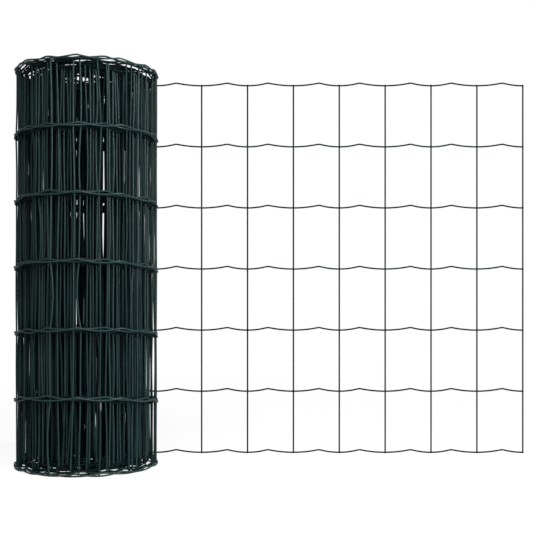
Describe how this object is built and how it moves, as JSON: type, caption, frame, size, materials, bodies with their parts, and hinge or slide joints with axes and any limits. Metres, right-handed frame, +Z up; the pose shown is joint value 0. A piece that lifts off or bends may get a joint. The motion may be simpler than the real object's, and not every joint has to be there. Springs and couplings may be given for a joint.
{
  "type": "roll of wire fencing",
  "caption": "Standing roll of plastic-coated welded wire fencing with an open core; its loose end runs out flat as a mesh of straight uprights and crimped rows.",
  "frame": {"origin": "on the axis of the roll's core, at the floor that the roll stands on", "axes": "+Z up along the core; +X along the unrolled run, from the roll to its loose end; the run is on the +Y side"},
  "size_m": [0.8051, 0.22, 0.6067],
  "materials": {
    "green_coating": "satin dark green plastic coating on steel wire"
  },
  "bodies": {
    "root": {"wound_roll": "green_coating", "unrolled_run": "green_coating"}
  },
  "joints": []
}
